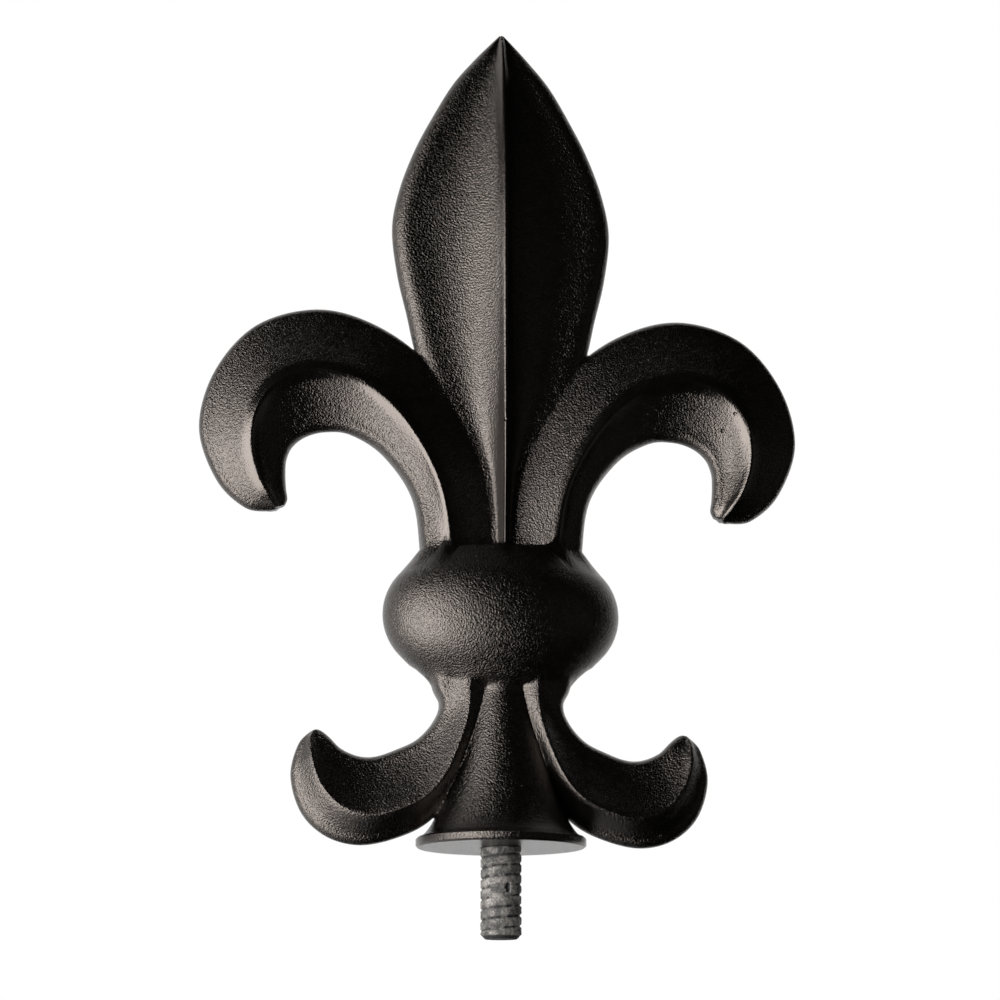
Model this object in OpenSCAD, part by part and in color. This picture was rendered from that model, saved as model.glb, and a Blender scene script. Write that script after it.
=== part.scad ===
// Fleur-de-lis post cap: one casting on a threaded stud.
// The seat of the flange lies at z = 0, the stud hangs below it, and the leaves spread along X.
// The front faces -Y, and the back is the same as the front.

/* [Overall] */
// Height of the petal's tip above the seat
tip_h = 131.6; // [124:0.2:142]
// Spread across the two upper leaves
leaf_spread = 94.2; // [88:0.2:102]
// Height of the top of the upper leaves above the seat
leaf_h = 83.8; // [80:0.2:90]
// Spread across the two lower curls
curl_spread = 63.8; // [58:0.2:70]

/* [Petal] */
// Width of the petal at its widest
petal_w = 35; // [30:0.5:40]
// Height of the petal's rib above the middle plane
petal_rib = 7; // [5.5:0.1:8.5]
// Thickness of the petal along its edge
petal_edge = 4.2; // [3:0.1:5]
// Width of the petal's round edge
petal_round = 2.6; // [1.6:0.1:3.4]

/* [Leaves and curls] */
// Height of an upper leaf's crest above the middle plane
leaf_crest = 5.2; // [4:0.1:6.5]
// Thickness of an upper leaf along its edge
leaf_edge = 3.6; // [2.6:0.1:4.6]
// Height of a lower curl's crest above the middle plane
curl_crest = 5.8; // [4.4:0.1:6.6]
// Thickness of a lower curl along its edge
curl_edge = 3.6; // [2.6:0.1:4.6]

/* [Band] */
// Width of the band across the leaves
band_w = 36.6; // [34:0.2:42]
// Depth of the band, front to back
band_d = 20; // [17:0.5:25]
// Height of the middle of the band above the seat
band_z = 35.6; // [34:0.2:38]
// Radius of the band's round bead, seen from the front
bead_r = 9; // [7.5:0.1:9.5]
// How far the bead bulges front and back, as a share of its bulge to the sides
front_bulge = 0.6; // [0.5:0.05:1]
// Height of the band's upper shoulder above its middle
band_up = 9.8; // [8.6:0.1:10.6]
// Depth of the band's lower shoulder below its middle
band_down = 10.8; // [9.4:0.1:11.6]

/* [Stem and flange] */
// Diameter of the flange that sits on the post
flange_d = 25.8; // [22:0.2:32]
// Thickness of the flange's rim
flange_t = 1.5; // [1:0.1:2.5]
// Diameter of the stem where it enters the band
stem_d = 8.6; // [7.6:0.2:12]

/* [Stud] */
// Diameter over the worn crests of the stud's thread
stud_d = 6.2; // [5:0.05:8]
// Depth of the thread, from crest to root
thread_depth = 0.7; // [0.4:0.05:1]
// Length of stud below the seat
stud_out = 13.6; // [10:0.1:30]
// Depth of the blind tapped hole that the stud is screwed into
stud_in = 12; // [8:0.5:16]
// Chamfer on the stud's lower end
stud_chamfer = 0.7; // [0.2:0.1:1.2]
// Gap between the stud's crests and the countersunk mouth of its hole
mouth_gap = 0.2; // [0.1:0.05:0.6]

/* [Hidden] */
// Steps between two ribs of a loft, steps along each round edge and steps across each flank
rib_steps = 3;
edge_steps = 2;
flank_steps = 4;
// Facets round the band and round the stem and stud
band_facets = 64;
turned_facets = 96;
// Steps down the stem's flare
flare_steps = 12;
// Sag of each flank between its round edge and its crest, where 1 is straight
petal_sag = 2.8;
inner_sag = 1.25;
outer_sag = 1.15;
// Width of the round edge on leaves and curls, as a share of half their thickness
round_share = 0.75;
// How fast the stem flares: more keeps it slim for longer
flare_power = 1.75;
// Chamfer on both edges of the flange's rim
rim_chamfer = 0.3;
// Part of a turn, each way, that the band's bead covers before its cones
bead_turn = 45;
// Inside the casting the two threads mesh, so stud and hole both have the thread's mean diameter
mesh_d = stud_d - thread_depth;

// Ribs of the petal: share of the height from the band's middle to the tip, share of the half
// width, share of the rib's height, share of the edge's thickness
petal_ribs = [
    [0, 0.13, 0.96, 1.5], [0.1, 0.14, 0.98, 1.5], [0.19, 0.21, 1, 1.35], [0.27, 0.38, 1, 1.2],
    [0.35, 0.6, 1, 1.1], [0.43, 0.77, 1, 1], [0.5, 0.86, 1, 1], [0.57, 0.95, 1, 1],
    [0.65, 1, 0.99, 1], [0.72, 0.935, 0.96, 1], [0.79, 0.8, 0.9, 1], [0.85, 0.64, 0.8, 0.96],
    [0.91, 0.455, 0.66, 0.9], [0.955, 0.26, 0.5, 0.8], [0.985, 0.11, 0.34, 0.62], [1, 0.03, 0.2, 0.4]
];

// Ribs of an upper leaf: outer edge, crest and inner edge as shares of its reach and of its rise
// above the band's middle, share of the crest's height, share of the edge's thickness
leaf_ribs = [
    [[0.005, 0], [0.165, 0], [0.266, 0], 0.9, 1.7],
    [[0.012, 0.19], [0.174, 0.2], [0.269, 0.21], 0.91, 1.7],
    [[0.03, 0.39], [0.214, 0.41], [0.298, 0.385], 0.98, 1.55],
    [[0.11, 0.62], [0.318, 0.6], [0.394, 0.52], 1, 1.35],
    [[0.255, 0.838], [0.44, 0.72], [0.5, 0.585], 1, 1.15],
    [[0.43, 0.96], [0.56, 0.765], [0.58, 0.592], 1, 1],
    [[0.62, 1.003], [0.665, 0.765], [0.645, 0.575], 1, 1],
    [[0.82, 0.942], [0.76, 0.715], [0.69, 0.54], 1, 1],
    [[0.953, 0.785], [0.818, 0.62], [0.71, 0.495], 1, 1],
    [[1, 0.595], [0.826, 0.51], [0.713, 0.45], 0.96, 1],
    [[0.94, 0.425], [0.8, 0.418], [0.71, 0.4], 0.84, 1],
    [[0.845, 0.335], [0.762, 0.358], [0.705, 0.365], 0.62, 0.85],
    [[0.765, 0.324], [0.74, 0.33], [0.712, 0.345], 0.3, 0.5]
];

// Ribs of a lower curl: outer edge, crest and inner edge as shares of its reach and of the height
// of the band's middle, share of the crest's height, share of the edge's thickness
curl_ribs = [
    [[0.03, 1], [0.165, 1], [0.36, 1], 0.75, 1.8],
    [[0.035, 0.73], [0.166, 0.73], [0.34, 0.71], 0.78, 1.75],
    [[0.055, 0.58], [0.17, 0.58], [0.3, 0.61], 0.86, 1.65],
    [[0.11, 0.43], [0.207, 0.445], [0.33, 0.53], 0.94, 1.5],
    [[0.2, 0.25], [0.277, 0.295], [0.405, 0.455], 1, 1.3],
    [[0.345, 0.105], [0.37, 0.195], [0.505, 0.41], 1, 1.1],
    [[0.505, 0.033], [0.505, 0.135], [0.6, 0.38], 0.97, 1],
    [[0.675, 0.004], [0.64, 0.113], [0.68, 0.38], 0.9, 1],
    [[0.83, 0.04], [0.77, 0.153], [0.762, 0.41], 0.82, 0.95],
    [[0.947, 0.137], [0.865, 0.25], [0.815, 0.455], 0.72, 0.9],
    [[1, 0.29], [0.905, 0.365], [0.848, 0.48], 0.58, 0.8],
    [[0.967, 0.425], [0.91, 0.445], [0.868, 0.49], 0.4, 0.6],
    [[0.905, 0.486], [0.893, 0.488], [0.88, 0.492], 0.2, 0.35]
];

// A smooth curve through a list of ribs, each a list of numbers and points
function through(a, b, c, d, t) =
    0.5 * (2 * b + (c - a) * t + (2 * a - 5 * b + 4 * c - d) * t * t
           + (3 * b - a - 3 * c + d) * t * t * t);
function rib_at(ribs, i, t, last) = [
    for (k = [0 : len(ribs[0]) - 1])
        through(ribs[max(i - 1, 0)][k], ribs[i][k], ribs[i + 1][k], ribs[min(i + 2, last)][k], t)
];
function smooth_ribs(ribs, last) = [
    for (i = [0 : last - 1], s = [0 : rib_steps - 1]) rib_at(ribs, i, s / rib_steps, last),
    ribs[last]
];

// Half of a cross-section, from the edge towards the crest, as shares across and as depths.
// The round edge comes first, and then the flank, which sags between edge and crest.
function half_section(width, crest, edge, round_w, sag) = [
    for (i = [1 : edge_steps]) [
        round_w / width * (1 - cos(90 * i / edge_steps)),
        edge * sin(90 * i / edge_steps)
    ],
    for (i = [1 : flank_steps - 1]) [
        round_w / width + (1 - round_w / width) * i / flank_steps,
        edge + (crest - edge) * pow(i / flank_steps, sag)
    ]
];
function reversed(v) = [for (i = [len(v) - 1 : -1 : 0]) v[i]];
// A ring of points round one rib: outer edge, front, inner edge, back
function ring(outer, crest_at, inner, crest, edge, round_w, sag_outer, sag_inner) =
    let (wide_outer = norm(crest_at - outer), wide_inner = norm(crest_at - inner))
    let (from_outer = half_section(wide_outer, crest, edge, min(round_w, wide_outer / 2), sag_outer))
    let (from_inner = half_section(wide_inner, crest, edge, min(round_w, wide_inner / 2), sag_inner))
    let (front = [
        for (p = from_outer) [outer + (crest_at - outer) * p[0], p[1]],
        [crest_at, crest],
        for (p = reversed(from_inner)) [inner + (crest_at - inner) * p[0], p[1]]
    ])
    concat(
        [[outer[0], 0, outer[1]]],
        [for (p = front) [p[0][0], -p[1], p[0][1]]],
        [[inner[0], 0, inner[1]]],
        [for (p = reversed(front)) [p[0][0], p[1], p[0][1]]]
    );

// Skin over a list of rings that climb from first to last, closed by a flat face at each end
module skin(rings) {
    count = len(rings[0]);
    last = len(rings) - 1;
    polyhedron(
        points = [for (r = rings) each r],
        faces = [
            [for (i = [0 : count - 1]) i],
            for (k = [0 : last - 1], i = [0 : count - 1])
                let (j = (i + 1) % count, a = k * count)
                each [[a + i, a + count + j, a + j], [a + i, a + count + i, a + count + j]],
            [for (i = [count - 1 : -1 : 0]) last * count + i]
        ]
    );
}

// Upright petal with a sharp rib down its middle
module petal() {
    half = petal_w / 2;
    rise = tip_h - band_z;
    last = len(petal_ribs) - 1;
    skin([
        for (r = smooth_ribs(petal_ribs, last))
            let (z = band_z + r[0] * rise, w = r[1] * half)
            ring([-w, z], [0, z], [w, z], r[2] * petal_rib, r[3] * petal_edge / 2, petal_round,
                 petal_sag, petal_sag)
    ]);
}

// Upper leaf that rises beside the petal, arches outwards and hangs down to its tip
module upper_leaf() {
    reach = leaf_spread / 2;
    rise = leaf_h - band_z;
    last = len(leaf_ribs) - 1;
    place = function (p) [p[0] * reach, band_z + p[1] * rise];
    skin([
        for (r = smooth_ribs(leaf_ribs, last))
            ring(place(r[0]), place(r[1]), place(r[2]), r[3] * leaf_crest, r[4] * leaf_edge / 2,
                 round_share * leaf_edge / 2, outer_sag, inner_sag)
    ]);
}

// Lower curl that leaves the band beside the stem and turns up to its tip
module lower_curl() {
    reach = curl_spread / 2;
    last = len(curl_ribs) - 1;
    place = function (p) [p[0] * reach, p[1] * band_z];
    skin(reversed([
        for (r = smooth_ribs(curl_ribs, last))
            ring(place(r[0]), place(r[1]), place(r[2]), r[3] * curl_crest, r[4] * curl_edge / 2,
                 round_share * curl_edge / 2, outer_sag, inner_sag)
    ]));
}

// Oval band, a stack of ovals: a round bead with a short cone and a flat shoulder at each end
function oval(half_w, half_d, z) = [
    for (i = [0 : band_facets - 1])
        [half_w * cos(360 * i / band_facets), half_d * sin(360 * i / band_facets), z]
];
module band() {
    ring_r = band_w / 2 - bead_r;
    cone = ring_r + bead_r / cos(bead_turn);
    profile = [
        [cone - band_down, -band_down],
        for (a = [-bead_turn : 9 : bead_turn]) [ring_r + bead_r * cos(a), bead_r * sin(a)],
        [cone - band_up, band_up]
    ];
    skin([
        for (p = profile)
            oval(p[0], band_d / 2 - front_bulge * (band_w / 2 - p[0]), band_z + p[1])
    ]);
}

// Trumpet-shaped stem that opens into the flange
module stem_and_flange() {
    stem_r = stem_d / 2;
    rim_r = flange_d / 2 - rim_chamfer;
    rise = band_z - band_down - flange_t;
    rotate_extrude($fn = turned_facets)
        polygon([
            [0, 0],
            [rim_r, 0],
            [flange_d / 2, rim_chamfer],
            [flange_d / 2, flange_t - rim_chamfer],
            for (i = [0 : flare_steps], t = i / flare_steps)
                [rim_r + (stem_r - rim_r) * t, flange_t + rise * pow(t, flare_power)],
            [stem_r, band_z],
            [0, band_z]
        ]);
}

// Petal, leaves, curls and band as one skin, brought to the exact spread and depth
module ornament() {
    resize([leaf_spread, band_d, 0])
        union() {
            petal();
            for (side = [0, 1])
                mirror([side, 0, 0]) {
                    upper_leaf();
                    lower_curl();
                }
            band();
        }
}

// Blind tapped hole with a countersunk mouth
module stud_hole() {
    mouth_r = stud_d / 2 + mouth_gap;
    rotate_extrude($fn = turned_facets)
        polygon([
            [0, -1],
            [mouth_r, -1],
            [mouth_r, 0],
            [mesh_d / 2, mouth_r - mesh_d / 2],
            [mesh_d / 2, stud_in],
            [0, stud_in]
        ]);
}

// The whole casting, with the hole for the stud
module fleur_de_lis_casting() {
    color("#1c1b1a")
        difference() {
            union() {
                ornament();
                stem_and_flange();
            }
            stud_hole();
        }
}

// Steel stud, seated at the end of the blind hole
module threaded_stud() {
    color("#9a9a98")
        translate([0, 0, -stud_out]) {
            cylinder(d1 = stud_d - 2 * stud_chamfer, d2 = stud_d, h = stud_chamfer, $fn = turned_facets);
            translate([0, 0, stud_chamfer])
                cylinder(d = stud_d, h = stud_out - stud_chamfer, $fn = turned_facets);
            translate([0, 0, stud_chamfer])
                cylinder(d = mesh_d, h = stud_out + stud_in - stud_chamfer, $fn = turned_facets);
        }
}

fleur_de_lis_casting();
threaded_stud();
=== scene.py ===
# %% [markdown]
# # A cast fleur-de-lis post cap
# The real object is one casting under a black, fine-grained coat, with a bare steel stud screwed
# into its flange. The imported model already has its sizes, so it comes in first as a fixed frame,
# and everything made here is measured against it. Shapes are written in millimetres, as a
# pattern maker would, and turned into Blender's metres only when a mesh is made.

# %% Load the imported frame
import math
import bmesh
import bpy
import numpy as np
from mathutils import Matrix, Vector
from mathutils.bvhtree import BVHTree
from mathutils.kdtree import KDTree


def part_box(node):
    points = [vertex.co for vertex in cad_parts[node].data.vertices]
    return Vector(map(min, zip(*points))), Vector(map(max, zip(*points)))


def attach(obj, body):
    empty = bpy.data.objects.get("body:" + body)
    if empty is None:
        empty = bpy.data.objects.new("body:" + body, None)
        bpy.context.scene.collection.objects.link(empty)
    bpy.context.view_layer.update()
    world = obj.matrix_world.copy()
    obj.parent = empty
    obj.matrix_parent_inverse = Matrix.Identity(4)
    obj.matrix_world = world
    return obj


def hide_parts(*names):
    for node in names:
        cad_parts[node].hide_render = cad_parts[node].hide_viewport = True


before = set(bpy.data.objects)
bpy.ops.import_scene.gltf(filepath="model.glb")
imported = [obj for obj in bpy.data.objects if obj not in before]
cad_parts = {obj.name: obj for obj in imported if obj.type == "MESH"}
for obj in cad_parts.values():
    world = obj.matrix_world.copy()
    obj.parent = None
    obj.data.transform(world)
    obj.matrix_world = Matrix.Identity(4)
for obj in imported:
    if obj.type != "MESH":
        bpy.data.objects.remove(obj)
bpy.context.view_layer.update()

MM = 0.001
casting_low, casting_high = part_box("fleur_de_lis_casting")
print("the casting stands", round((casting_high.z - casting_low.z) / MM, 1), "mm above its seat")

# %% [markdown]
# ## Sizes
# The same named sizes as in the construction model, so that the two stay alike. The frame gives
# the overall ones, and the rest are the shape's own.

# %% Sizes in millimetres
TIP_H = casting_high.z / MM
LEAF_SPREAD = (casting_high.x - casting_low.x) / MM
LEAF_H = 83.8
CURL_SPREAD = 63.8
BAND_W = 36.6
BAND_D = 20.0
BAND_Z = 35.6
BEAD_R = 9.0
FRONT_BULGE = 0.6
BAND_UP = 9.8
BAND_DOWN = 10.8
FLANGE_D = 25.79
FLANGE_T = 1.5
RIM_CHAMFER = 0.3
STEM_D = 8.6
FLARE_POWER = 1.75
STUD_D = 6.2
THREAD_DEPTH = 0.7
STUD_OUT = 13.6
STUD_IN = 12.0
STUD_CHAMFER = 0.7
MOUTH_GAP = 0.2

# %% [markdown]
# ## Smooth curves through a few ribs
# The petal, leaves and curls are free forms. A pattern maker would draw a few cross-sections, the
# ribs, and let a skin run over them. Here a rib says where the outer edge, the crest and the inner
# edge lie, how high the crest stands and how thick the edge is. A Catmull-Rom curve passes through
# every rib exactly, which a Bezier fit wouldn't, so each number can be read off the object.

# %% Curves through the ribs
def through(a, b, c, d, t):
    return 0.5 * (2 * b + (c - a) * t + (2 * a - 5 * b + 4 * c - d) * t ** 2
                  + (3 * b - a - 3 * c + d) * t ** 3)


def smooth_ribs(ribs, steps):
    ribs = np.array(ribs, float)
    last = len(ribs) - 1
    rows = [through(ribs[max(i - 1, 0)], ribs[i], ribs[i + 1], ribs[min(i + 2, last)], s / steps)
            for i in range(last) for s in range(steps)]
    return np.array(rows + [ribs[last]])


# %% [markdown]
# ## The cross-section
# Each half of a section starts at a round edge, runs over a hollow flank and climbs to a crest.
# The power of the flank says how hollow it is: 1 is flat, 3 stays low and then rises steeply
# beside the crest, as on the petal. The paint has rounded the crest by a few tenths of a
# millimetre, and that small round is what catches the light as a thin line. The crest points are
# also kept in a list, because the coat lies smoother beside them.

# %% Half of a section
NOSE_STEPS = 6
crest_line = []


def flank_height(share, crest, edge, sag):
    return edge + (crest - edge) * share ** sag


def half_section(width, crest, edge, round_w, sag, ridge, steps):
    """Points from the edge towards the crest as (distance from the edge, height), and the crest."""
    round_w = min(round_w, width / 2)
    ridge = min(ridge, width / 4)
    span = max(width - round_w, 1e-6)
    ridge_share = 1 - ridge / span
    slope = (crest - edge) / span * sag * ridge_share ** (sag - 1)
    ridge_foot = flank_height(ridge_share, crest, edge, sag)
    apex = ridge_foot + slope * ridge / 2
    points = [(round_w * (1 - math.cos(a)), edge * math.sin(a))
              for a in np.linspace(0, math.pi / 2, NOSE_STEPS + 1)[1:]]
    for k in range(1, steps):
        share = math.sin(k / steps * math.pi / 2)
        left = (1 - share) * span
        if left < ridge:
            height = apex - (apex - ridge_foot) * (left / ridge) ** 2
        else:
            height = flank_height(share, crest, edge, sag)
        points.append((round_w + share * span, height))
    return points, apex


def ring(outer, crest_at, inner, crest, edge, round_w, sags, ridge, steps):
    outer, crest_at, inner = (np.array(p, float) for p in (outer, crest_at, inner))
    halves = []
    for start, sag in ((outer, sags[0]), (inner, sags[1])):
        across = crest_at - start
        width = np.linalg.norm(across)
        points, apex = half_section(width, crest, edge, round_w, sag, ridge, steps)
        halves.append(([(start + across * (u / width), h) for u, h in points], apex))
    top = (halves[0][1] + halves[1][1]) / 2
    crest_line.extend(Vector((crest_at[0], y, crest_at[1])) * MM for y in (-top, top))
    front = halves[0][0] + [(crest_at, top)] + halves[1][0][::-1]
    return ([(outer[0], 0, outer[1])] + [(p[0], -h, p[1]) for p, h in front]
            + [(inner[0], 0, inner[1])] + [(p[0], h, p[1]) for p, h in front[::-1]])


# %% [markdown]
# ## From rings to a closed mesh
# A skin joins each ring to the next with four-sided faces and closes both ends. Blender works out
# the outward direction of a closed shape by itself, so no ring has to run a certain way round.

# %% Skins and turned forms
def object_from(name, verts, faces):
    mesh = bpy.data.meshes.new(name)
    mesh.from_pydata([(x * MM, y * MM, z * MM) for x, y, z in verts], [], faces)
    bm = bmesh.new()
    bm.from_mesh(mesh)
    bmesh.ops.remove_doubles(bm, verts=bm.verts, dist=1e-7)
    bmesh.ops.dissolve_degenerate(bm, edges=bm.edges, dist=1e-8)
    bmesh.ops.recalc_face_normals(bm, faces=bm.faces)
    bm.to_mesh(mesh)
    bm.free()
    obj = bpy.data.objects.new(name, mesh)
    bpy.context.scene.collection.objects.link(obj)
    return obj


def skin(name, rings):
    count = len(rings[0])
    verts = [p for r in rings for p in r]
    faces = [tuple(range(count)), tuple((len(rings) - 1) * count + i for i in range(count))]
    for k in range(len(rings) - 1):
        for i in range(count):
            j = (i + 1) % count
            faces.append((k * count + i, k * count + j, (k + 1) * count + j, (k + 1) * count + i))
    return object_from(name, verts, faces)


def turned(name, profile, sides):
    """A form turned on a lathe round Z, from (radius, height) points. A third number in a point
    is the half depth of an oval."""
    turns = [(math.cos(a), math.sin(a)) for a in np.linspace(0, 2 * math.pi, sides, endpoint=False)]
    return skin(name, [[(p[0] * c, (p[2] if len(p) > 2 else p[0]) * s, p[1]) for c, s in turns]
                       for p in profile])


# %% [markdown]
# ## The petal
# Its flanks are hollow and its rib stands up sharply, so the sag is strong. Near the band it runs
# down to little more than the rib.

# %% The petal
PETAL_W, PETAL_RIB, PETAL_EDGE, PETAL_ROUND = 35.0, 7.0, 4.2, 2.6
PETAL_SAG, PETAL_RIDGE = 2.8, 0.35
PETAL_STEPS, PETAL_FLANK_STEPS = 10, 20
PETAL_RIBS = [
    (0, 0.13, 0.96, 1.5), (0.1, 0.14, 0.98, 1.5), (0.19, 0.21, 1, 1.35), (0.27, 0.38, 1, 1.2),
    (0.35, 0.6, 1, 1.1), (0.43, 0.77, 1, 1), (0.5, 0.86, 1, 1), (0.57, 0.95, 1, 1),
    (0.65, 1, 0.99, 1), (0.72, 0.935, 0.96, 1), (0.79, 0.8, 0.9, 1), (0.85, 0.64, 0.8, 0.96),
    (0.91, 0.455, 0.66, 0.9), (0.955, 0.26, 0.5, 0.8), (0.985, 0.11, 0.34, 0.62),
    (1, 0.03, 0.2, 0.4),
]


def make_petal():
    rings = []
    for up, wide, rib, edge in smooth_ribs(PETAL_RIBS, PETAL_STEPS):
        z = BAND_Z + up * (TIP_H - BAND_Z)
        half = wide * PETAL_W / 2
        rings.append(ring((-half, z), (0, z), (half, z), rib * PETAL_RIB, edge * PETAL_EDGE / 2,
                          PETAL_ROUND, (PETAL_SAG, PETAL_SAG), PETAL_RIDGE,
                          PETAL_FLANK_STEPS))
    return skin("petal", rings)


petal = make_petal()
print("the petal has", len(petal.data.polygons), "faces")

# %% [markdown]
# ## Leaves and curls
# One loft makes the right-hand form and a mirrored copy the left-hand one, so that the pair
# can't drift apart. The three lines of each rib are shares of the reach and of the rise, which is
# how the shape is judged. The curls' flank beside the stem is fuller than the others, and
# that fades out from the fifth to the eighth rib.

# %% Leaves and curls
LEAF_CREST, LEAF_EDGE = 5.2, 3.6
CURL_CREST, CURL_EDGE = 5.8, 3.6
ROUND_SHARE = 0.75
OUTER_SAG, INNER_SAG, SIDE_RIDGE = 1.15, 1.25, 0.45
STEM_SIDE_SAG, FULL_UNTIL, FULL_FADE = 0.6, 4, 3
SIDE_STEPS, SIDE_FLANK_STEPS = 9, 12
LEAF_RIBS = [
    (0.005, 0, 0.165, 0, 0.266, 0, 0.9, 1.7),
    (0.012, 0.19, 0.174, 0.2, 0.269, 0.21, 0.91, 1.7),
    (0.03, 0.39, 0.214, 0.41, 0.298, 0.385, 0.98, 1.55),
    (0.11, 0.62, 0.318, 0.6, 0.394, 0.52, 1, 1.35),
    (0.255, 0.838, 0.44, 0.72, 0.5, 0.585, 1, 1.15),
    (0.43, 0.96, 0.56, 0.765, 0.58, 0.592, 1, 1),
    (0.62, 1.003, 0.665, 0.765, 0.645, 0.575, 1, 1),
    (0.82, 0.942, 0.76, 0.715, 0.69, 0.54, 1, 1),
    (0.953, 0.785, 0.818, 0.62, 0.71, 0.495, 1, 1),
    (1, 0.595, 0.826, 0.51, 0.713, 0.45, 0.96, 1),
    (0.94, 0.425, 0.8, 0.418, 0.71, 0.4, 0.84, 1),
    (0.845, 0.335, 0.762, 0.358, 0.705, 0.365, 0.62, 0.85),
    (0.765, 0.324, 0.74, 0.33, 0.712, 0.345, 0.3, 0.5),
]
CURL_RIBS = [
    (0.03, 1, 0.165, 1, 0.36, 1, 0.75, 1.8),
    (0.035, 0.73, 0.166, 0.73, 0.34, 0.71, 0.78, 1.75),
    (0.055, 0.58, 0.17, 0.58, 0.3, 0.61, 0.86, 1.65),
    (0.11, 0.43, 0.207, 0.445, 0.33, 0.53, 0.94, 1.5),
    (0.2, 0.25, 0.277, 0.295, 0.405, 0.455, 1, 1.3),
    (0.345, 0.105, 0.37, 0.195, 0.505, 0.41, 1, 1.1),
    (0.505, 0.033, 0.505, 0.135, 0.6, 0.38, 0.97, 1),
    (0.675, 0.004, 0.64, 0.113, 0.68, 0.38, 0.9, 1),
    (0.83, 0.04, 0.77, 0.153, 0.762, 0.41, 0.82, 0.95),
    (0.947, 0.137, 0.865, 0.25, 0.815, 0.455, 0.72, 0.9),
    (1, 0.29, 0.905, 0.365, 0.848, 0.48, 0.58, 0.8),
    (0.967, 0.425, 0.91, 0.445, 0.868, 0.49, 0.4, 0.6),
    (0.905, 0.486, 0.893, 0.488, 0.88, 0.492, 0.2, 0.35),
]


def make_side_form(name, ribs, reach, rise, foot, crest, edge, side, first_sag):
    rings = []
    for k, row in enumerate(smooth_ribs(ribs, SIDE_STEPS)):
        x = row[0:6:2] * reach * side
        z = foot + row[1:6:2] * rise
        faded = min(max((k / SIDE_STEPS - FULL_UNTIL) / FULL_FADE, 0), 1)
        outer_sag = first_sag + (OUTER_SAG - first_sag) * faded
        rings.append(ring((x[0], z[0]), (x[1], z[1]), (x[2], z[2]), row[6] * crest,
                          row[7] * edge / 2, ROUND_SHARE * edge / 2, (outer_sag, INNER_SAG),
                          SIDE_RIDGE, SIDE_FLANK_STEPS))
    return skin(name, rings)


leaves, curls = [], []
for side, word in ((-1, "left"), (1, "right")):
    leaves.append(make_side_form("leaf_" + word, LEAF_RIBS, LEAF_SPREAD / 2, LEAF_H - BAND_Z,
                                 BAND_Z, LEAF_CREST, LEAF_EDGE, side, OUTER_SAG))
    curls.append(make_side_form("curl_" + word, CURL_RIBS, CURL_SPREAD / 2, BAND_Z,
                                0, CURL_CREST, CURL_EDGE, side, STEM_SIDE_SAG))
print("each leaf has", len(leaves[0].data.polygons), "faces, each curl",
      len(curls[0].data.polygons))

# %% [markdown]
# ## The band, the stem and the flange
# The stem is a turned form that opens like a trumpet into the flange. The band is a stack of
# ovals. Each level has its own depth, so the bead can bulge to the front a little more than a
# squeezed turning would. The band's lower edge is turned under, where it stays in shadow.

# %% The band, the stem and the flange
BAND_SIDES, BEAD_STEPS, FLARE_STEPS = 160, 30, 40
TURNED_UNDER = [(-1.5, 0), (-0.55, 0.35), (0.6, 1.15), (1.9, 2.3), (3.0, 3.0)]

ring_r = BAND_W / 2 - BEAD_R
cone = ring_r + BEAD_R * math.sqrt(2)
bead = [(ring_r + BEAD_R * math.cos(a), BAND_Z + BEAD_R * math.sin(a))
        for a in np.radians(np.linspace(-45, 45, BEAD_STEPS + 1))]
lower_edge = [(cone - BAND_DOWN + out, BAND_Z - BAND_DOWN + up) for out, up in TURNED_UNDER]
band_profile = lower_edge + bead + [(cone - BAND_UP, BAND_Z + BAND_UP)]
band = turned("band", [(r, z, BAND_D / 2 - FRONT_BULGE * (BAND_W / 2 - r))
                       for r, z in band_profile], BAND_SIDES)

rim_r = FLANGE_D / 2 - RIM_CHAMFER
stem_r = STEM_D / 2
flare_rise = BAND_Z - BAND_DOWN - FLANGE_T
flare = [(rim_r + (stem_r - rim_r) * t, FLANGE_T + flare_rise * t ** FLARE_POWER)
         for t in np.linspace(0, 1, FLARE_STEPS + 1)]
stem = turned("stem", [(0.01, 0), (rim_r, 0), (FLANGE_D / 2, RIM_CHAMFER),
                       (FLANGE_D / 2, FLANGE_T - RIM_CHAMFER)]
              + flare + [(stem_r, BAND_Z), (0.01, BAND_Z)], BAND_SIDES)
print("the flange is", FLANGE_D, "mm across and the band", BAND_W, "by", BAND_D, "mm")

# %% [markdown]
# ## One casting
# On the real object all of this is one piece of metal, so the forms are united with a Boolean
# modifier. The Manifold solver is quick and exact for closed shapes. The tapped hole is cut in
# the same way.

# %% Unite the forms
def apply_modifiers(obj):
    bpy.context.view_layer.update()
    done = bpy.data.meshes.new_from_object(obj.evaluated_get(bpy.context.evaluated_depsgraph_get()))
    obj.modifiers.clear()
    obj.data = done
    return obj


def combine(base, others, operation):
    for other in others:
        step = base.modifiers.new(operation.lower(), "BOOLEAN")
        step.operation = operation
        step.solver = "MANIFOLD"
        step.object = other
    apply_modifiers(base)
    for other in others:
        bpy.data.objects.remove(other)
    return base


casting = combine(petal, leaves + curls + [band, stem], "UNION")
casting.name = "coated_casting"
MESH_R, HOLE_SIDES = (STUD_D - THREAD_DEPTH) / 2, 96
mouth_r = STUD_D / 2 + MOUTH_GAP
hole = turned("hole", [(mouth_r, -1), (mouth_r, 0), (MESH_R, mouth_r - MESH_R),
                       (MESH_R, STUD_IN)], HOLE_SIDES)
combine(casting, [hole], "DIFFERENCE")
print("the casting has", len(casting.data.vertices), "points after uniting")

# %% [markdown]
# ## Junctions softened by metal and paint
# Where two forms meet, a casting never has a knife-sharp valley. The valley edges are found by
# their angle, and the points near them are averaged with their neighbours a few times, less and
# less with distance. That leaves a small fillet and touches nothing else.

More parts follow.
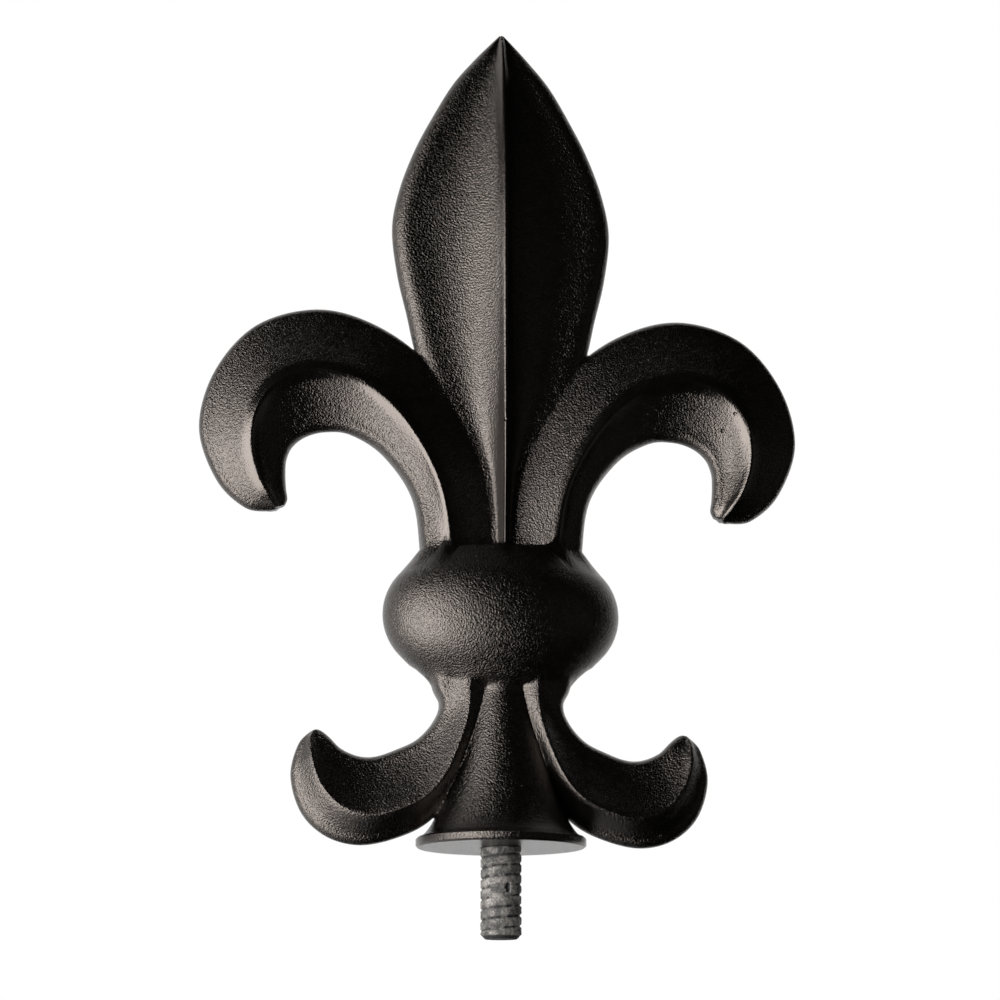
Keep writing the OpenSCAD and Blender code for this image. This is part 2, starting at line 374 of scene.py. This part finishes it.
# %% Soften the valleys
VALLEY_ANGLE, VALLEY_FROM_Z = -0.4, 2 * MM


def soften_valleys(obj, reach, turns):
    bm = bmesh.new()
    bm.from_mesh(obj.data)
    bmesh.ops.triangulate(bm, faces=bm.faces)
    bm.verts.ensure_lookup_table()
    valleys = [e for e in bm.edges if e.is_manifold
               and e.calc_face_angle_signed() < VALLEY_ANGLE
               and e.verts[0].co.z > VALLEY_FROM_Z]
    tree = KDTree(max(len(valleys) * 3, 1))
    for n, e in enumerate(valleys):
        for k, t in enumerate((0, 0.5, 1)):
            tree.insert(e.verts[0].co.lerp(e.verts[1].co, t), 3 * n + k)
    tree.balance()
    near = []
    for v in bm.verts:
        distance = tree.find(v.co)[2] if valleys else reach
        if distance < reach:
            near.append((v, (1 - distance / reach) ** 0.5))
    for _ in range(turns):
        moved = []
        for v, weight in near:
            ring_of = [e.other_vert(v).co for e in v.link_edges]
            mean = sum(ring_of, Vector()) / len(ring_of)
            moved.append(v.co.lerp(mean, 0.5 * weight))
        for (v, _), co in zip(near, moved):
            v.co = co
    bm.to_mesh(obj.data)
    bm.free()
    return len(valleys), len(near)


valleys, near = soften_valleys(casting, 0.7 * MM, 6)
print("softened", near, "points along", valleys, "valley edges")

# %% [markdown]
# ## Marks of use
# The real casting has a few small pits and chipped spots. Each is a shallow cut by a small ball
# whose centre stands just off the surface, found by a ray from the front. A spot is given by its
# place across and up, the ball's radius and the cut's depth.

# %% Pits and nicks
def pit_balls(obj, spots):
    tree = BVHTree.FromObject(obj, bpy.context.evaluated_depsgraph_get())
    balls = []
    for x, z, radius, depth in spots:
        hit, normal, _, _ = tree.ray_cast(Vector((x, -60, z)) * MM, Vector((0, 1, 0)))
        bm = bmesh.new()
        bmesh.ops.create_icosphere(bm, subdivisions=2, radius=radius * MM)
        bmesh.ops.translate(bm, verts=bm.verts, vec=hit + normal * (radius - depth) * MM)
        mesh = bpy.data.meshes.new("pit")
        bm.to_mesh(mesh)
        bm.free()
        ball = bpy.data.objects.new("pit", mesh)
        bpy.context.scene.collection.objects.link(ball)
        balls.append(ball)
    return balls


PITS = [(34.8, 65.5, 0.42, 0.25), (36.5, 67.9, 0.5, 0.14), (33.9, 55.1, 0.6, 0.22),
        (-0.1, 65.3, 0.5, 0.2), (1.9, 8.3, 0.4, 0.15), (-10.6, 5.8, 0.35, 0.13)]
bpy.context.view_layer.update()
combine(casting, pit_balls(casting, PITS), "DIFFERENCE")
print("cut", len(PITS), "pits and nicks")

# %% [markdown]
# ## Where the coat is smooth
# Powder flows off the sharp crests above the band and lies smooth beside them. Each point of the
# casting gets a number, 1 on a crest and 0 a few millimetres away, and the coat uses it to calm
# its grain.

# %% Smooth strips along the crests
def mark_crests(obj, points, full, none):
    tree = KDTree(len(points))
    for n, point in enumerate(points):
        tree.insert(point, n)
    tree.balance()
    near = obj.data.attributes.new("near_crest", "FLOAT", "POINT")
    for v in obj.data.vertices:
        distance = tree.find(v.co)[2] / MM
        near.data[v.index].value = min(max((none - distance) / (none - full), 0), 1)


mark_crests(casting, [p for p in crest_line if p.z > BAND_Z * MM], 1.0, 2.3)

# %% [markdown]
# ## The stud
# A worn steel stud with a right-hand thread. A thread is a groove that follows a helix, so it is
# made by Geometry Nodes: a flat grid is rolled into a rod, and each point is pushed in by an
# amount that depends only on where it lies between two turns. The crests of this one are worn
# flat and smeared, so noise takes some of the depth away again. It also has a dent in front, with
# a short deep nick at its side. Each blot is given by its place across and up, its half width and
# its half height.

# %% A small helper to write node trees line by line
class Wiring:
    """Adds nodes to a tree, and math written as calls."""

    def __init__(self, tree):
        self.tree = tree

    def put(self, kind, inputs=None, **settings):
        node = self.tree.nodes.new(kind)
        for key, value in settings.items():
            setattr(node, key, value)
        for key, value in (inputs or {}).items():
            self.plug(value, node.inputs[key])
        return node

    def plug(self, value, socket):
        if isinstance(value, bpy.types.NodeSocket):
            self.tree.links.new(value, socket)
        else:
            socket.default_value = value

    def math(self, operation, *values, clamp=False):
        node = self.put("ShaderNodeMath", operation=operation, use_clamp=clamp)
        for value, socket in zip(values, node.inputs):
            self.plug(value, socket)
        return node.outputs[0]

    def smooth(self, value, low, high, out_low=0.0, out_high=1.0):
        return self.put("ShaderNodeMapRange", {
            "Value": value, "From Min": low, "From Max": high, "To Min": out_low,
            "To Max": out_high}, interpolation_type="SMOOTHSTEP").outputs["Result"]


# %% The thread as a node tree
DENT, DENT_DEPTH = (-0.1, -6.3, 1.7, 1.6), 0.16
NICK, NICK_DEPTH = (0.8, -6.1, 0.45, 0.9), 0.5
SMEARED = (-0.1, -6.3, 2.4, 2.0)


def thread_tree():
    tree = bpy.data.node_groups.new("thread_on_a_rod", "GeometryNodeTree")
    face = tree.interface
    sizes = [("Crest Radius", 3.1), ("Mean Radius", 2.75), ("Bottom", -13.6), ("Top", 12.0),
             ("Chamfer", 0.7), ("Pitch", 1.55), ("Groove Depth", 0.3), ("Wear", 0.12)]
    for name, value in sizes:
        face.new_socket(name, in_out="INPUT", socket_type="NodeSocketFloat").default_value = value
    face.new_socket("Rings", in_out="INPUT", socket_type="NodeSocketInt").default_value = 300
    face.new_socket("Sides", in_out="INPUT", socket_type="NodeSocketInt").default_value = 97
    face.new_socket("Finish", in_out="INPUT", socket_type="NodeSocketMaterial")
    face.new_socket("Rod", in_out="OUTPUT", socket_type="NodeSocketGeometry")
    w = Wiring(tree)
    given = w.put("NodeGroupInput").outputs
    grid = w.put("GeometryNodeMeshGrid", {"Size X": 1.0, "Size Y": 1.0,
                                          "Vertices X": given["Rings"],
                                          "Vertices Y": given["Sides"]})
    at = w.put("ShaderNodeSeparateXYZ", {"Vector": w.put("GeometryNodeInputPosition").outputs[0]})
    along = w.math("ADD", at.outputs["X"], 0.5)
    turn = w.math("ADD", at.outputs["Y"], 0.5)
    angle = w.math("MULTIPLY", turn, 2 * math.pi)
    length = w.math("SUBTRACT", given["Top"], given["Bottom"])
    end_r = w.math("SUBTRACT", given["Crest Radius"], given["Chamfer"])
    whole = w.math("ADD", w.math("ADD", end_r, length), given["Mean Radius"])
    path = w.math("MULTIPLY", along, whole)
    height = w.math("MINIMUM", w.math("MAXIMUM", w.math("SUBTRACT", path, end_r), 0.0), length)
    z = w.math("ADD", given["Bottom"], height)
    # The groove, as a share of its depth, from the place between two turns
    place = w.math("FRACT", w.math("SUBTRACT", w.math("DIVIDE", z, given["Pitch"]), turn))
    from_groove = w.math("ABSOLUTE", w.math("SUBTRACT", place, 0.5))
    groove = w.smooth(from_groove, 0.0, 0.22, 1.0, 0.0)
    across = w.math("MULTIPLY", w.math("COSINE", angle), given["Crest Radius"])
    away = w.math("MULTIPLY", w.math("SINE", angle), given["Crest Radius"])
    spot = w.put("ShaderNodeCombineXYZ", {"X": across, "Y": away, "Z": z})
    rough = w.put("ShaderNodeTexNoise", {"Vector": spot.outputs[0], "Scale": 0.9, "Detail": 3.0})
    worn = w.smooth(rough.outputs["Fac"], 0.3, 0.7, 1.15, 0.45)
    depth = w.math("MULTIPLY", w.math("MULTIPLY", given["Groove Depth"], groove), worn)
    fine = w.put("ShaderNodeTexNoise", {"Vector": spot.outputs[0], "Scale": 2.2, "Detail": 2.0})
    scuff = w.math("MULTIPLY", given["Wear"], w.smooth(fine.outputs["Fac"], 0.35, 0.8))

    def blot(x, z_at, wide, high):
        dx = w.math("DIVIDE", w.math("SUBTRACT", across, x), wide)
        dz = w.math("DIVIDE", w.math("SUBTRACT", z, z_at), high)
        far = w.math("ADD", w.math("MULTIPLY", dx, dx), w.math("MULTIPLY", dz, dz))
        front = w.math("LESS_THAN", w.math("SINE", angle), 0.0)
        return w.math("MULTIPLY", w.smooth(far, 0.0, 1.0, 1.0, 0.0), front)

    dent = w.math("MULTIPLY", blot(*DENT), DENT_DEPTH)
    nick = w.math("MULTIPLY", blot(*NICK), NICK_DEPTH)
    not_smeared = w.math("SUBTRACT", 1.0, blot(*SMEARED))
    taken = w.math("ADD", w.math("MULTIPLY", depth, not_smeared), w.math("ADD", dent, nick))
    open_r = w.math("SUBTRACT", w.math("SUBTRACT", given["Crest Radius"], taken), scuff)
    inside = w.math("GREATER_THAN", z, 0.0)
    rod_r = w.math("ADD", w.math("MULTIPLY", inside, given["Mean Radius"]),
                   w.math("MULTIPLY", w.math("SUBTRACT", 1.0, inside), open_r))
    ends = w.math("MINIMUM", path, w.math("SUBTRACT", whole, path))
    radius = w.math("MULTIPLY", w.math("MINIMUM", ends, rod_r), MM)
    rolled = w.put("ShaderNodeCombineXYZ", {
        "X": w.math("MULTIPLY", radius, w.math("COSINE", angle)),
        "Y": w.math("MULTIPLY", radius, w.math("SINE", angle)),
        "Z": w.math("MULTIPLY", z, MM)})
    moved = w.put("GeometryNodeSetPosition", {"Geometry": grid.outputs["Mesh"],
                                              "Position": rolled.outputs[0]})
    closed = w.put("GeometryNodeMergeByDistance", {"Geometry": moved.outputs[0],
                                                   "Distance": 1e-6})
    turned_out = w.put("GeometryNodeFlipFaces", {"Mesh": closed.outputs[0]})
    real = w.put("GeometryNodeRealizeInstances", {"Geometry": turned_out.outputs[0]})
    coloured = w.put("GeometryNodeSetMaterial", {"Geometry": real.outputs[0],
                                                 "Material": given["Finish"]})
    w.put("NodeGroupOutput", {"Rod": coloured.outputs[0]})
    return tree


# %% [markdown]
# ## A grain for coat and metal
# Both finishes have a fine grain, only of another size and depth. One node group makes it, from a
# fine noise and a coarser one, and puts out a height and a mask. The bump and the shader stay in
# each material.

# %% The grain group
def grain_group():
    tree = bpy.data.node_groups.new("fine_grain", "ShaderNodeTree")
    face = tree.interface
    for name, value in (("Size", 0.4), ("Coarse Size", 1.6), ("Coarse Share", 0.4)):
        face.new_socket(name, in_out="INPUT", socket_type="NodeSocketFloat").default_value = value
    for name in ("Height", "Patches"):
        face.new_socket(name, in_out="OUTPUT", socket_type="NodeSocketFloat")
    w = Wiring(tree)
    given = w.put("NodeGroupInput").outputs
    place = w.put("ShaderNodeTexCoord").outputs["Object"]
    per_metre = w.math("DIVIDE", 1 / MM, given["Size"])
    coarse_per_metre = w.math("DIVIDE", 1 / MM, given["Coarse Size"])
    fine = w.put("ShaderNodeTexNoise", {"Vector": place, "Scale": per_metre, "Detail": 2.0,
                                        "Roughness": 0.55})
    coarse = w.put("ShaderNodeTexNoise", {"Vector": place, "Scale": coarse_per_metre,
                                          "Detail": 3.0, "Roughness": 0.6})
    height = w.math("ADD", fine.outputs["Fac"],
                    w.math("MULTIPLY", coarse.outputs["Fac"], given["Coarse Share"]))
    w.put("NodeGroupOutput", {"Height": height, "Patches": coarse.outputs["Fac"]})
    return tree


GRAIN = grain_group()
print("the grain group puts out", [s.name for s in GRAIN.interface.items_tree
                                   if s.in_out == "OUTPUT"])

# %% [markdown]
# ## The black coat
# A semi-gloss powder coat. It is nearly black in itself, so almost all that is seen is light
# reflected by its surface, a little warm in tint and broken up by the grain. The roughness
# follows the grain too, and beside the crests the grain is calmed.

# %% The black coat
COLOUR_A, COLOUR_B = 6, 7   # the two colour inputs of a Mix node set to colours


def new_material(name):
    material = bpy.data.materials.new(name)
    material.use_nodes = True
    material.node_tree.nodes.clear()
    w = Wiring(material.node_tree)
    shader = w.put("ShaderNodeBsdfPrincipled")
    w.put("ShaderNodeOutputMaterial", {"Surface": shader.outputs[0]})
    return material, w, shader


def coat_material():
    material, w, shader = new_material("black_coat")
    grain = w.put("ShaderNodeGroup", node_tree=GRAIN)
    for name, value in (("Size", 0.28), ("Coarse Size", 1.7), ("Coarse Share", 0.2)):
        grain.inputs[name].default_value = value
    shade = w.smooth(grain.outputs["Patches"], 0.35, 0.65)
    colour = w.put("ShaderNodeMix", data_type="RGBA")
    w.plug(shade, colour.inputs["Factor"])
    colour.inputs[COLOUR_A].default_value = (0.0016, 0.0014, 0.0012, 1)
    colour.inputs[COLOUR_B].default_value = (0.0028, 0.0024, 0.0021, 1)
    w.plug(colour.outputs[2], shader.inputs["Base Color"])
    w.plug(w.smooth(grain.outputs["Height"], 0.4, 0.95, 0.2, 0.15), shader.inputs["Roughness"])
    near_crest = w.put("ShaderNodeAttribute", attribute_name="near_crest").outputs["Fac"]
    bump = w.put("ShaderNodeBump", {"Height": grain.outputs["Height"],
                                    "Strength": w.smooth(near_crest, 0.0, 1.0, 1.0, 0.35),
                                    "Distance": 0.15 * MM})
    w.plug(bump.outputs[0], shader.inputs["Normal"])
    shader.inputs["Specular IOR Level"].default_value = 0.9
    shader.inputs["Specular Tint"].default_value = (1, 0.88, 0.8, 1)
    return material


COAT = coat_material()

# %% [markdown]
# ## The bare steel
# The stud's crests are worn to grey and speckled. Its grooves are coloured dark: partly dirt and
# old paint, partly painted shade in the thread's hollows. The distance from the axis tells groove
# from crest, so the dark follows the thread by itself.

# %% The bare steel
def steel_material():
    material, w, shader = new_material("stud_steel")
    grain = w.put("ShaderNodeGroup", node_tree=GRAIN)
    for name, value in (("Size", 0.3), ("Coarse Size", 1.6), ("Coarse Share", 0.9)):
        grain.inputs[name].default_value = value
    place = w.put("ShaderNodeSeparateXYZ",
                  {"Vector": w.put("ShaderNodeTexCoord").outputs["Object"]})
    x, y = place.outputs["X"], place.outputs["Y"]
    radius = w.math("SQRT", w.math("ADD", w.math("MULTIPLY", x, x), w.math("MULTIPLY", y, y)))
    # 1 on the crests, 0 in the grooves, which get the dark colour as dirt and painted shade
    crest = w.smooth(radius, (STUD_D / 2 - 0.32) * MM, (STUD_D / 2 - 0.12) * MM)
    speckle = w.smooth(grain.outputs["Height"], 0.75, 1.2, 0.35, 1.0)
    patches = w.smooth(grain.outputs["Patches"], 0.35, 0.62, 0.45, 1.0)
    wear_and_groove_shade = w.math("MULTIPLY", crest, w.math("MULTIPLY", speckle, patches), clamp=True)
    colour = w.put("ShaderNodeMix", data_type="RGBA")
    w.plug(wear_and_groove_shade, colour.inputs["Factor"])
    # dark colour: dirt and painted shade in the grooves; light colour: the worn crests
    colour.inputs[COLOUR_A].default_value = (0.02, 0.02, 0.021, 1)
    colour.inputs[COLOUR_B].default_value = (0.36, 0.335, 0.31, 1)
    w.plug(colour.outputs[2], shader.inputs["Base Color"])
    w.plug(w.math("MULTIPLY", wear_and_groove_shade, 0.5), shader.inputs["Metallic"])
    w.plug(w.smooth(grain.outputs["Height"], 0.5, 1.4, 0.75, 0.5), shader.inputs["Roughness"])
    bump = w.put("ShaderNodeBump", {"Height": grain.outputs["Height"], "Strength": 0.9,
                                    "Distance": 0.12 * MM})
    w.plug(bump.outputs[0], shader.inputs["Normal"])
    return material


STEEL = steel_material()

# %% [markdown]
# ## Grow the stud and put both pieces on the body
# The modifier's inputs are set by their identifiers. The result is then taken as a plain mesh and
# the modifier goes. Each piece rides on the one body and has its finish.

# %% The stud from its tree
def make_stud():
    tree = thread_tree()
    stud = bpy.data.objects.new("threaded_stud_steel", bpy.data.meshes.new("stud"))
    bpy.context.scene.collection.objects.link(stud)
    grower = stud.modifiers.new("thread", "NODES")
    grower.node_group = tree
    values = {"Crest Radius": STUD_D / 2, "Mean Radius": MESH_R, "Bottom": -STUD_OUT,
              "Top": STUD_IN, "Chamfer": STUD_CHAMFER, "Finish": STEEL}
    for item in tree.interface.items_tree:
        if item.in_out == "INPUT" and item.name in values:
            grower[item.identifier] = values[item.name]
    return apply_modifiers(stud)


stud = make_stud()
print("the stud has", len(stud.data.polygons), "faces")


# %% Shading and roles
def finish_piece(obj, material, sharp_angle):
    obj.data.materials.clear()
    obj.data.materials.append(material)
    obj.data.shade_smooth()
    obj.data.set_sharp_from_angle(angle=math.radians(sharp_angle))
    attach(obj, "root")


finish_piece(casting, COAT, 40)
finish_piece(stud, STEEL, 50)
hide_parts("fleur_de_lis_casting")
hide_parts("threaded_stud")

# %% [markdown]
# ## Camera
# The photograph looks at the cap from about 14 degrees below and 7 degrees from the left, with a
# long lens. The lens is kept long so that the leaves don't look bent.

# %% Camera
YAW, RISE, AWAY = math.radians(-6.8), math.radians(-13.6), 385 * MM
TARGET = Vector((-0.15 * MM, 0, 54 * MM))
back = Vector((math.sin(YAW) * math.cos(RISE), -math.cos(YAW) * math.cos(RISE), math.sin(RISE)))
camera = bpy.data.objects.new("camera", bpy.data.cameras.new("camera"))
bpy.context.scene.collection.objects.link(camera)
camera.location = TARGET + back * AWAY
camera.rotation_euler = back.to_track_quat("Z", "Y").to_euler()
camera.data.sensor_width = 36
camera.data.lens = 6.41 * 385 * 36 / 1000
camera.data.clip_start = 0.01
bpy.context.scene.camera = camera
print("the camera is at", [round(c / MM) for c in camera.location], "mm")

# %% [markdown]
# ## Floor and light
# A black, half-gloss thing shows its lights more than itself. A tall softbox stands to the left
# and a weak one to the right. The background is white, and because a smooth coat would mirror it
# from every side, black cards stand in front and below, as in a real studio: only reflections
# see them. The pale floor is left out of the reflections, which keeps the dark sides black.

# %% Floor and light
def aim(obj, azimuth, elevation, distance, target):
    """Stands obj round the target: azimuth 0 is in front, on the photograph's side."""
    a, e = math.radians(azimuth), math.radians(elevation)
    out = Vector((math.sin(a) * math.cos(e), -math.cos(a) * math.cos(e), math.sin(e)))
    obj.location = Vector(target) + out * distance
    obj.rotation_euler = out.to_track_quat("Z", "Y").to_euler()


def softbox(name, azimuth, elevation, distance, wide, high, radiance):
    lamp = bpy.data.lights.new(name, "AREA")
    lamp.shape = "RECTANGLE"
    lamp.size, lamp.size_y = wide, high
    lamp.energy = radiance * wide * high * math.pi
    obj = bpy.data.objects.new(name, lamp)
    bpy.context.scene.collection.objects.link(obj)
    aim(obj, azimuth, elevation, distance, (0, 0, 0.06))
    obj.visible_camera = False
    return obj


softbox("softbox_left", -52, -14, 0.5, 0.4, 0.7, 7.8)
softbox("softbox_right", 60, -4, 0.7, 0.3, 0.6, 0.12)


def plain_material(name, colour):
    material, w, shader = new_material(name)
    shader.inputs["Base Color"].default_value = (*colour, 1)
    shader.inputs["Roughness"].default_value = 0.9
    shader.inputs["Specular IOR Level"].default_value = 0.1
    return material


FLOOR_Z, FLOOR_HALF = -150.0, 650.0
floor = object_from("floor", [(x, y, FLOOR_Z) for x, y in (
    (-FLOOR_HALF, -FLOOR_HALF), (FLOOR_HALF, -FLOOR_HALF), (FLOOR_HALF, FLOOR_HALF),
    (-FLOOR_HALF, FLOOR_HALF))], [(0, 1, 2, 3)])
floor.visible_glossy = False
floor.data.materials.append(plain_material("pale_floor", (0.8, 0.8, 0.79)))

CARD_R, TURNS, LEVELS = 1200.0, 72, 18


def is_dark(azimuth, elevation):
    in_front = -85 < azimuth < 120
    below = elevation < -24 and not -150 < azimuth < 0
    return in_front or below


directions = [(math.radians(360 * k / TURNS - 180), math.radians(180 * i / LEVELS - 90))
              for k in range(TURNS) for i in range(LEVELS + 1)]
card_verts = [(CARD_R * math.sin(a) * math.cos(e), -CARD_R * math.cos(a) * math.cos(e),
               CARD_R * math.sin(e)) for a, e in directions]
card_faces = []
for k in range(TURNS):
    for i in range(LEVELS):
        azimuth, elevation = 360 * (k + 0.5) / TURNS - 180, 180 * (i + 0.5) / LEVELS - 90
        if is_dark(azimuth, elevation):
            here, there = k * (LEVELS + 1) + i, (k + 1) % TURNS * (LEVELS + 1) + i
            card_faces.append((here, here + 1, there + 1, there))
cards = object_from("black_cards", card_verts, card_faces)
cards.data.materials.append(plain_material("black_card", (0.01, 0.01, 0.01)))
cards.visible_camera = False
cards.visible_diffuse = False
cards.visible_shadow = False
cards.visible_transmission = False

# %% [markdown]
# ## White background
# The world is dim for soft light and white where the camera or a reflection looks straight at it.

# %% White background
world = bpy.data.worlds.new("studio")
bpy.context.scene.world = world
world.use_nodes = True
world.node_tree.nodes.clear()
world.cycles.sampling_method = "NONE"
w = Wiring(world.node_tree)
path = w.put("ShaderNodeLightPath")
seen = w.math("ADD", w.math("ADD", path.outputs["Is Camera Ray"], path.outputs["Is Glossy Ray"]),
              path.outputs["Is Transmission Ray"], clamp=True)
dim = w.put("ShaderNodeBackground", {"Color": (1, 1, 1, 1), "Strength": 0.12})
white = w.put("ShaderNodeBackground", {"Color": (1, 1, 1, 1), "Strength": 1.0})
mixed = w.put("ShaderNodeMixShader")
w.plug(seen, mixed.inputs[0])
w.plug(dim.outputs[0], mixed.inputs[1])
w.plug(white.outputs[0], mixed.inputs[2])
w.put("ShaderNodeOutputWorld", {"Surface": mixed.outputs[0]})
bpy.context.scene.view_settings.view_transform = "Standard"
